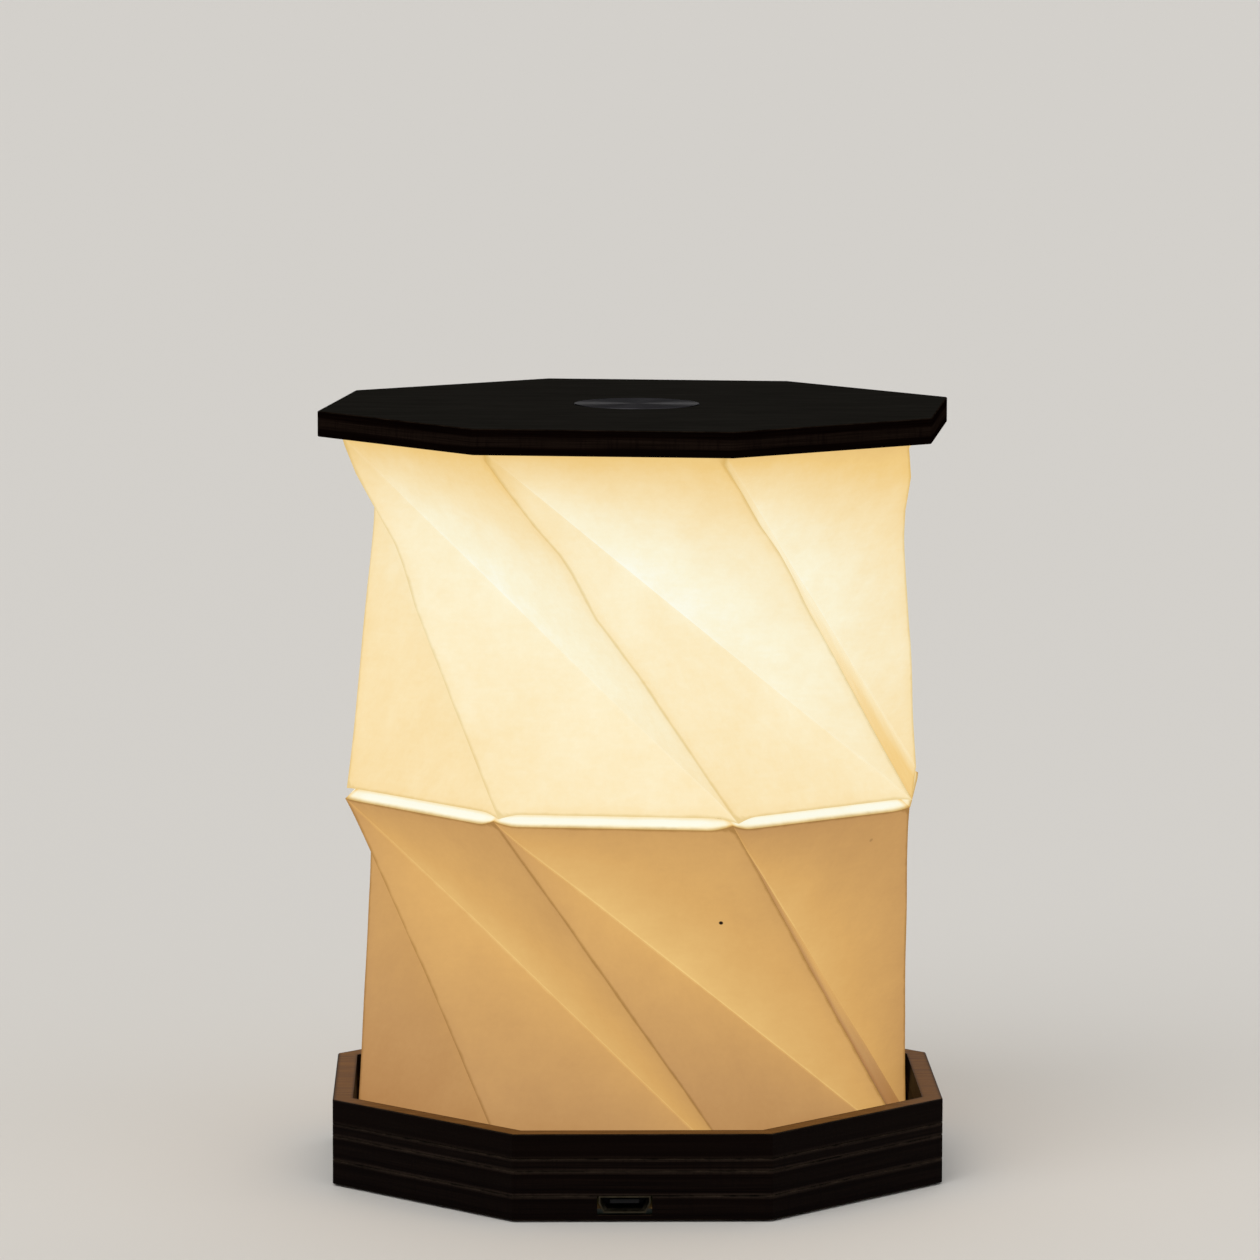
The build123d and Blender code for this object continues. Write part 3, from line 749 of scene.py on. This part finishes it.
def make_upper_stage():
    """From the clamp ring down to the pleat's upper lip, and in over the middle frame."""
    top = upper_high.z
    stage = Stage(
        "shade_upper_paper",
        corners(TOP_TURN, top, shade_radius),
        corners(MID_TURN, mid_height, shade_radius),
        bowed=True, glow=upper_glow, pleat_above=False, seed=8.6,
    )
    flat = stage.flange(stage.high, 0, 3, tab_radius, lambda j, u, t: top, "tab")
    stage.rows, stage.levels = flat
    stage.wall(no_lift, upper_lip)
    rows, levels = stage.flange(stage.low, 1, 10, hem_radius, hem_level, "hem")
    stage.rows += rows[::-1]
    stage.levels += levels[::-1]
    piece = build_stage(stage, paper_shader("lit_paper_upper", (0.86, 0.82, 0.69), 0.02))
    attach(piece, "upper_shade")
    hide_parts("shade_upper")
    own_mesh(piece)


make_lower_stage()
make_upper_stage()

# ---------------------------------------------------------------- wood


def octagon_reach(shader):
    """Distance from the axis to the flat of the octagon through each place."""
    x = shader.math("ABSOLUTE", shader.axis(shader.coords, "X"))
    y = shader.math("ABSOLUTE", shader.axis(shader.coords, "Y"))
    slant = shader.math("MULTIPLY", shader.math("ADD", x, y), 0.5 ** 0.5)
    return shader.math("MAXIMUM", shader.math("MAXIMUM", x, y), slant)


SEAM_WIDTH = 0.62 * MM
RIM_WIDTH = 3.3 * MM
SCORCH_SHARE = 0.55                   # of the rim's colour along its edges
# dark and light tones: the charred edge darkened further with painted shade, its lighter veneer and
# seams, and the painted highlight on its edge breaks
CHARRED_AND_SHADE_TONES = ((0.0012, 0.0005, 0.0004), (0.0038, 0.0016, 0.0011))
BROWN = ((0.0070, 0.0042, 0.0030), (0.0210, 0.0135, 0.0100))
EDGE_HIGHLIGHT_TONES = ((0.0040, 0.0030, 0.0020), (0.0320, 0.0220, 0.0150))
SOOT = (0.002, 0.001, 0.001)
SCORCHED = (0.0030, 0.0012, 0.0006)


def ply_shader(
    name, low, high, seams, face_colour, face_rough, turn=0.0, paler=0.12, specular=0.02, edge_highlight_share=1.0,
):
    """Stained plywood: grain on its faces, and laser-cut edges, charred and darkened further with
    painted shade.

    paler says how much lighter the edge's middle veneer is, and the last argument how strong the painted
    highlight on its edge breaks is.
    """
    wood = Shader(name, roughness=0.6, specular=specular)
    normal = wood.node("ShaderNodeNewGeometry").outputs["Normal"]
    level = wood.math("ABSOLUTE", wood.axis(normal, "Z"))
    is_face = wood.smooth(level, 0.86, 0.95)
    is_edge_break = wood.smooth(level, 0.15, 0.45)

    # grain of the face
    along = wood.stretched((90.0, 1500.0, 90.0), turn)
    long_grain = wood.noise(1.0, detail=6.0, rough=0.65, vector=along)
    pores = wood.noise(1.0, detail=2.0, vector=wood.stretched((350.0, 5200.0, 350.0), turn))
    face_dark = tuple(0.62 * part for part in face_colour)
    face_light = tuple(1.5 * part for part in face_colour)
    face = wood.ramp(long_grain, [(0.3, face_dark), (0.52, face_colour), (0.75, face_light)])
    face = wood.mix(wood.smooth(pores, 0.62, 0.72), face, face_dark)

    # charred edge darkened further with painted shade, its middle veneer a little lighter, and brown
    # along its seams with the next plies
    waver = wood.math("MULTIPLY", wood.math("SUBTRACT", wood.noise(60.0, detail=3.0), 0.5), 0.4 * MM)
    height = wood.math("ADD", wood.axis(wood.coords, "Z"), waver)
    middle = wood.math("ABSOLUTE", wood.math("SUBTRACT", height, (low + high) / 2))
    lighter = wood.smooth(middle, 0.24 * (high - low), 0.14 * (high - low))
    layers = wood.noise(1.0, detail=4.0, vector=wood.stretched((70.0, 70.0, 5200.0)))
    scorch = wood.noise(1.0, detail=3.0, vector=wood.stretched((1700.0, 1700.0, 160.0)))
    char_and_shade = wood.tones(layers, *CHARRED_AND_SHADE_TONES)
    brown = wood.tones(layers, *BROWN)
    edge = wood.mix(wood.math("MULTIPLY", lighter, paler), char_and_shade, brown)
    for seam in seams:
        near = wood.math("ABSOLUTE", wood.math("SUBTRACT", height, seam))
        edge = wood.mix(wood.smooth(near, SEAM_WIDTH, 0.3 * SEAM_WIDTH), edge, brown)
    edge = wood.mix(wood.math("MULTIPLY", wood.smooth(scorch, 0.45, 0.75), 0.5), edge, SOOT)
    # painted highlight: lighter tones where the edge breaks round to the face
    edge_highlight = wood.ramp(wood.noise(300.0, detail=4.0), [(0.35, EDGE_HIGHLIGHT_TONES[0]), (0.7, EDGE_HIGHLIGHT_TONES[1])])
    edge = wood.mix(wood.math("MULTIPLY", is_edge_break, edge_highlight_share), edge, edge_highlight)

    wood.set("Base Color", wood.mix(is_face, edge, face))
    wood.set("Roughness", wood.math("MULTIPLY_ADD", long_grain, 0.15, face_rough - 0.08))
    first = wood.bump(wood.math("MULTIPLY", long_grain, 0.7), 0.35, distance=0.08 * MM)
    wood.bump(wood.math("ADD", scorch, layers), 0.3, distance=0.06 * MM, before=first)
    return wood


# the top plate's face: a dark stain, darkened further with painted shade
BLACK_STAIN_AND_SHADE_FACE = (0.0098, 0.0090, 0.0076)
DARK_FACE = (0.016, 0.010, 0.006)
# the rim's face: painted light, the brown glow of the shade falling on it
PAINTED_LAMPLIGHT_FACE = (0.150, 0.070, 0.020)


def rim_shader():
    """The rim, its face painted brown with painted light, the shade's glow falling on it, and scorched
    along both of its edges.
    """
    wood = ply_shader("rim_wood", rim_low.z, rim_high.z, (rim_low.z,), PAINTED_LAMPLIGHT_FACE, 0.55)
    colour = wood.bsdf.inputs["Base Color"].links[0].from_socket
    reach = octagon_reach(wood)
    inner_flat = plate_half - RIM_WIDTH
    outer = wood.smooth(reach, plate_half - 0.75 * MM, plate_half - 0.1 * MM)
    inner = wood.smooth(reach, inner_flat + 0.5 * MM, inner_flat - 0.05 * MM)
    scorched = wood.math("MULTIPLY", wood.math("MAXIMUM", outer, inner), SCORCH_SHARE)
    wood.set("Base Color", wood.mix(scorched, colour, SCORCHED))
    return wood


paint(rim_shader(), "base_rim")
for node in ("base_bottom_plate", "base_lower_ring", "base_thin_ring"):
    low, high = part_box(node)
    seams = (high.z,) if node == "base_bottom_plate" else (low.z, high.z)
    paint(ply_shader(node + "_wood", low.z, high.z, seams, DARK_FACE, 0.62), node)
top_wood = ply_shader(
    "top_plate_wood", plate_low.z, plate_high.z, (), BLACK_STAIN_AND_SHADE_FACE, 0.8,
    turn=0.4, paler=0.45, specular=0.0, edge_highlight_share=0.4,
)
paint(top_wood, "top_plate")

# ---------------------------------------------------------------- metal


def disc_painted_dark_reflection():
    """Metal disc, turned in fine rings round its middle, its colour near black: a painted dark
    reflection.
    """
    metal = Shader("disc_painted_dark_reflection", roughness=0.34, metallic=1.0)
    metal.bsdf.inputs["Anisotropic"].default_value = 0.85
    metal.bsdf.inputs["Anisotropic Rotation"].default_value = 0.25
    metal.bsdf.inputs["Specular Tint"].default_value = (0.095, 0.093, 0.105, 1.0)
    tangent = metal.node("ShaderNodeTangent", direction_type="RADIAL", axis="Z")
    metal.tree.links.new(tangent.outputs["Tangent"], metal.bsdf.inputs["Tangent"])
    flat = metal.node("ShaderNodeVectorMath", operation="LENGTH")
    metal.plug(metal.stretched((1.0, 1.0, 0.0)), flat.inputs[0])
    radius = flat.outputs["Value"]
    spread = metal.node("ShaderNodeCombineXYZ")
    metal.plug(metal.math("MULTIPLY", radius, 9000.0), spread.inputs["X"])
    metal.plug(metal.noise(140.0, detail=2.0), spread.inputs["Y"])
    rings = metal.noise(1.0, detail=3.0, vector=spread.outputs["Vector"])
    scratches = metal.noise(1.0, detail=2.0, vector=metal.stretched((2600.0, 130.0, 1.0), 0.5))
    # painted dark reflection: the metal's colour and edge tint are kept near black
    colour = metal.tones(rings, (0.032, 0.031, 0.034), (0.060, 0.059, 0.064))
    colour = metal.mix(metal.smooth(scratches, 0.7, 0.8), colour, (0.08, 0.08, 0.085))
    metal.set("Base Color", colour)
    metal.set("Roughness", metal.math("MULTIPLY_ADD", rings, 0.16, 0.26))
    metal.bump(rings, 0.16, distance=0.02 * MM)
    return metal


def metal_shader(name, dark, light, roughness):
    """Plated or plain metal with fine spots and wide stains."""
    metal = Shader(name, roughness=roughness, metallic=1.0)
    spots = metal.noise(700.0, detail=4.0, rough=0.6)
    stains = metal.noise(700.0 / 9, detail=3.0)
    colour = metal.tones(spots, dark, light)
    metal.set("Base Color", metal.mix(metal.math("MULTIPLY", stains, 0.35), colour, dark))
    metal.set("Roughness", metal.math("MULTIPLY_ADD", spots, 0.22, roughness - 0.11))
    metal.bump(spots, 0.12, distance=0.03 * MM)
    return metal


paint(disc_painted_dark_reflection(), "touch_disc")
# painted shade: the socket's nickel is darkened to near black, as its notch lies in shade
socket_nickel_painted_shade = metal_shader("socket_nickel_painted_shade", (0.026, 0.022, 0.015), (0.070, 0.060, 0.040), 0.34)
paint(socket_nickel_painted_shade, "usb_socket_shell")
screw_steel = metal_shader("screw_steel", (0.22, 0.22, 0.22), (0.48, 0.47, 0.45), 0.36)
paint(screw_steel, "floor_screws", "clamp_screws", "light_board_screws")
contact_brass = metal_shader("contact_brass", (0.40, 0.26, 0.08), (0.72, 0.52, 0.22), 0.30)
paint(contact_brass, "touch_contact")


def pouch_foil():
    """The cell's soft foil, dented and creased."""
    foil = Shader("pouch_foil", roughness=0.38, metallic=0.85)
    creases = foil.cells(260.0, feature="DISTANCE_TO_EDGE")
    dents = foil.noise(180.0, detail=4.0)
    foil.set("Base Color", foil.tones(dents, (0.40, 0.40, 0.42), (0.60, 0.60, 0.61)))
    foil.set("Roughness", foil.math("MULTIPLY_ADD", dents, 0.2, 0.28))
    first = foil.bump(dents, 0.4, distance=0.15 * MM)
    foil.bump(foil.smooth(creases, 0.0, 0.08), 0.12, distance=0.05 * MM, before=first)
    return foil


paint(pouch_foil(), "battery_cell")

# ---------------------------------------------------------------- card, plastic, rubber and boards


def moulded(name, colour, roughness, specular=0.4, grain=1400.0):
    """Moulded plastic or rubber with a fine spark texture."""
    plastic = Shader(name, roughness=roughness, specular=specular)
    sparks = plastic.cells(grain)
    clouds = plastic.noise(grain / 12, detail=3.0)
    dark = tuple(0.8 * part for part in colour)
    light = tuple(min(1.0, 1.12 * part) for part in colour)
    plastic.set("Base Color", plastic.ramp(clouds, [(0.3, dark), (0.5, colour), (0.75, light)]))
    plastic.set("Roughness", plastic.math("MULTIPLY_ADD", clouds, 0.16, roughness - 0.08))
    plastic.bump(sparks, 0.18, distance=0.03 * MM)
    return plastic


def card_shader():
    """Grey board with pressed fibres."""
    card = Shader("grey_board", roughness=0.86, specular=0.2)
    fibres = card.noise(1.0, detail=5.0, rough=0.7, vector=card.stretched((520.0, 1700.0, 900.0)))
    flecks = card.cells(900.0)
    colour = card.tones(fibres, (0.15, 0.125, 0.095), (0.29, 0.25, 0.20))
    colour = card.mix(card.smooth(flecks, 0.12, 0.05), colour, (0.08, 0.07, 0.055))
    card.set("Base Color", colour)
    card.bump(fibres, 0.4, distance=0.08 * MM)
    return card


def board_shader(name, mask, track, pitch):
    """Circuit board: solder mask over copper tracks, with tinned pads."""
    board = Shader(name, roughness=0.35, specular=0.5)
    grid = board.node("ShaderNodeTexBrick")
    board.plug(board.coords, grid.inputs["Vector"])
    grid.inputs["Scale"].default_value = pitch
    grid.inputs["Mortar Size"].default_value = 0.012
    grid.inputs["Mortar Smooth"].default_value = 0.2
    lines = grid.outputs["Fac"]
    weave = board.noise(2200.0, detail=2.0)
    pads = board.smooth(board.cells(pitch * 0.7), 0.16, 0.12)
    colour = board.mix(lines, mask, track)
    colour = board.mix(pads, colour, (0.62, 0.60, 0.55))
    colour = board.mix(board.math("MULTIPLY", weave, 0.2), colour, track)
    board.set("Base Color", colour)
    board.set("Metallic", board.math("MULTIPLY", pads, 0.9))
    board.set("Roughness", board.math("MULTIPLY_ADD", weave, 0.2, 0.25))
    board.bump(board.math("ADD", lines, pads), 0.3, distance=0.04 * MM)
    return board


def chips_shader():
    """Black chip bodies with a fine sand texture and faint lighter marks."""
    chips = Shader("chip_bodies", roughness=0.5, specular=0.35)
    sand = chips.noise(2600.0, detail=3.0)
    bands = chips.node("ShaderNodeTexWave", wave_type="BANDS", bands_direction="DIAGONAL")
    chips.plug(chips.coords, bands.inputs["Vector"])
    bands.inputs["Scale"].default_value = 420.0
    colour = chips.tones(sand, (0.012, 0.012, 0.013), (0.035, 0.034, 0.034))
    marks = chips.smooth(bands.outputs["Fac"], 0.9, 0.97, 0.0, 0.25)
    chips.set("Base Color", chips.mix(marks, colour, (0.25, 0.25, 0.24)))
    chips.set("Roughness", chips.math("MULTIPLY_ADD", sand, 0.25, 0.36))
    chips.bump(sand, 0.25, distance=0.03 * MM)
    return chips


def glowing(name, colour, light, strength, grain):
    """A light chip or the milky cap over the chips, lit."""
    lamp = moulded(name, colour, 0.45, grain=grain)
    swirl = lamp.noise(grain / 4, detail=3.0)
    dim = tuple(0.86 * part for part in light)
    lamp.set("Emission Color", lamp.tones(swirl, dim, light))
    lamp.set("Emission Strength", strength)
    return lamp


def wires_shader():
    """One black and one red wire jacket, told apart by the side that they lie on."""
    low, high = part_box("battery_leads")
    wires = moulded("wire_jackets", (0.40, 0.020, 0.014), 0.42, grain=2400.0)
    red = wires.bsdf.inputs["Base Color"].links[0].from_socket
    middle = (low.x + high.x) / 2
    side = wires.smooth(wires.axis(wires.coords, "X"), middle, middle + MM)
    wires.set("Base Color", wires.mix(side, (0.014, 0.014, 0.015), red))
    return wires


paint(card_shader(), "mid_frame", "clamp_ring", "floor_panel")
# painted shade: the board's green is darkened to near black where it shows in the socket's notch
green_board_painted_shade = board_shader("green_board_painted_shade", (0.003, 0.014, 0.007), (0.008, 0.034, 0.017), 420.0)
paint(green_board_painted_shade, "charge_board", "battery_protection_board")
white_board = board_shader("white_board", (0.74, 0.74, 0.71), (0.60, 0.60, 0.57), 300.0)
paint(white_board, "light_board")
paint(chips_shader(), "charge_board_parts", "light_board_parts")
paint(moulded("plug_nylon", (0.70, 0.69, 0.63), 0.4), "base_lead_plug", "top_lead_plug")
foot_rubber = moulded("foot_rubber", (0.018, 0.018, 0.019), 0.8, specular=0.25, grain=900.0)
paint(foot_rubber, "rubber_feet")
paint(moulded("tongue_plastic", (0.008, 0.008, 0.009), 0.6, specular=0.1), "usb_socket_tongue")
paint(wires_shader(), "battery_leads")
light_chips = glowing("light_chips", (0.80, 0.62, 0.20), (1.0, 0.86, 0.55), 0.6, 2200.0)
paint(light_chips, "light_emitters")
milky_cap = glowing("milky_cap", (0.80, 0.78, 0.72), (1.0, 0.90, 0.68), 0.25, 800.0)
paint(milky_cap, "light_diffuser")

# ---------------------------------------------------------------- lead

LEAD_DIAMETER = 2.2 * MM
LEAD_SIDES = 16
base_plug_low, base_plug_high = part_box("base_lead_plug")
top_plug_low, top_plug_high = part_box("top_lead_plug")
lead_foot = ((base_plug_low + base_plug_high) / 2).xy
lead_head = ((top_plug_low + top_plug_high) / 2).xy
LEAD_ROUTE = (
    (lead_foot.x, lead_foot.y, base_plug_high.z),
    (lead_foot.x, lead_foot.y, 0.022),
    (-0.0032, -0.0126, 0.042),
    (-0.0016, -0.0084, 0.063),
    (0.0026, -0.0098, 0.083),
    (lead_head.x, lead_head.y, 0.103),
    (lead_head.x, lead_head.y, top_plug_low.z),
)


def lead_line():
    """Points of the smooth line through the lead's route."""
    data = bpy.data.curves.new("lead_line", "CURVE")
    data.dimensions = "3D"
    data.resolution_u = 12
    spline = data.splines.new("NURBS")
    spline.points.add(len(LEAD_ROUTE) - 1)
    for point, place in zip(spline.points, LEAD_ROUTE):
        point.co = (*place, 1.0)
    spline.order_u = 3
    spline.use_endpoint_u = True
    holder = add_object("lead_line", data)
    line = bpy.data.meshes.new_from_object(holder)
    places = [vertex.co.copy() for vertex in line.vertices]
    bpy.data.objects.remove(holder)
    bpy.data.meshes.remove(line)
    return places


def tube(places, radius, sides):
    """Points and faces of a round tube along a line, closed at both ends."""
    points = []
    faces = []
    side = Vector((1.0, 0.0, 0.0))
    for index, place in enumerate(places):
        after = places[min(index + 1, len(places) - 1)]
        before = places[max(index - 1, 0)]
        along = (after - before).normalized()
        side = (side - along * side.dot(along)).normalized()
        other = along.cross(side)
        for corner in range(sides):
            angle = 2 * pi * corner / sides
            points.append(place + (side * cos(angle) + other * sin(angle)) * radius)
    for start in range(0, (len(places) - 1) * sides, sides):
        for corner in range(sides):
            after = (corner + 1) % sides
            faces.append((start + corner, start + after, start + sides + after, start + sides + corner))
    last = (len(places) - 1) * sides
    faces.append(tuple(range(sides))[::-1])
    faces.append(tuple(range(last, last + sides)))
    return points, faces


def make_lead():
    """Limp round lead from the charging board to the light board."""
    places = lead_line()
    points, faces = tube(places, LEAD_DIAMETER / 2, LEAD_SIDES)
    mesh = bpy.data.meshes.new("main_lead_cable")
    mesh.from_pydata(points, [], faces)
    mesh.shade_smooth()
    mesh.set_sharp_from_angle(angle=radians(40))
    mesh.materials.append(moulded("lead_jacket", (0.66, 0.64, 0.58), 0.5, grain=1800.0).material)
    lead = add_object("main_lead_cable", mesh)
    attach(lead, "base")
    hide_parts("main_lead")
    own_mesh(lead)


make_lead()

# ---------------------------------------------------------------- floor, lamps and world

FLOOR_SIZE = 40.0
FLOOR_COLOUR = (0.66, 0.645, 0.62)
WORLD_LIGHT = 0.52
WORLD_COLOUR = (1.0, 0.985, 0.965, 1.0)


def make_floor():
    """Plain pale floor, wide enough to fill every view."""
    half = FLOOR_SIZE / 2
    points = [(-half, -half, 0), (half, -half, 0), (half, half, 0), (-half, half, 0)]
    mesh = bpy.data.meshes.new("floor")
    mesh.from_pydata(points, [], [(0, 1, 2, 3)])
    floor = add_object("floor", mesh)
    shader = Shader("floor", roughness=0.9, specular=0.1)
    shader.set("Base Color", FLOOR_COLOUR)
    mesh.materials.append(shader.material)


def make_sun(name, strength, azimuth, elevation, softness, colour):
    """A soft lamp that shines from an azimuth, 0 being the front and 90 the right, and an elevation."""
    data = bpy.data.lights.new(name, "SUN")
    data.energy = strength
    data.angle = radians(softness)
    data.color = colour
    lamp = add_object(name, data)
    a, e = radians(azimuth), radians(elevation)
    source = Vector((sin(a) * cos(e), -cos(a) * cos(e), sin(e)))
    lamp.rotation_mode = "QUATERNION"
    lamp.rotation_quaternion = source.to_track_quat("Z", "Y")


def make_world():
    """Even soft light from all round."""
    world = bpy.data.worlds.new("studio")
    world.use_nodes = True
    background = world.node_tree.nodes["Background"]
    background.inputs["Color"].default_value = WORLD_COLOUR
    background.inputs["Strength"].default_value = WORLD_LIGHT
    bpy.context.scene.world = world


make_floor()
make_sun("key_lamp", 1.25, -32, 48, 50, (1.0, 0.99, 0.97))
make_sun("fill_lamp", 0.45, 48, 30, 70, (1.0, 0.99, 0.98))
make_sun("back_lamp", 0.45, 170, 40, 60, (1.0, 1.0, 1.0))
make_world()
bpy.context.scene.view_settings.view_transform = "Standard"
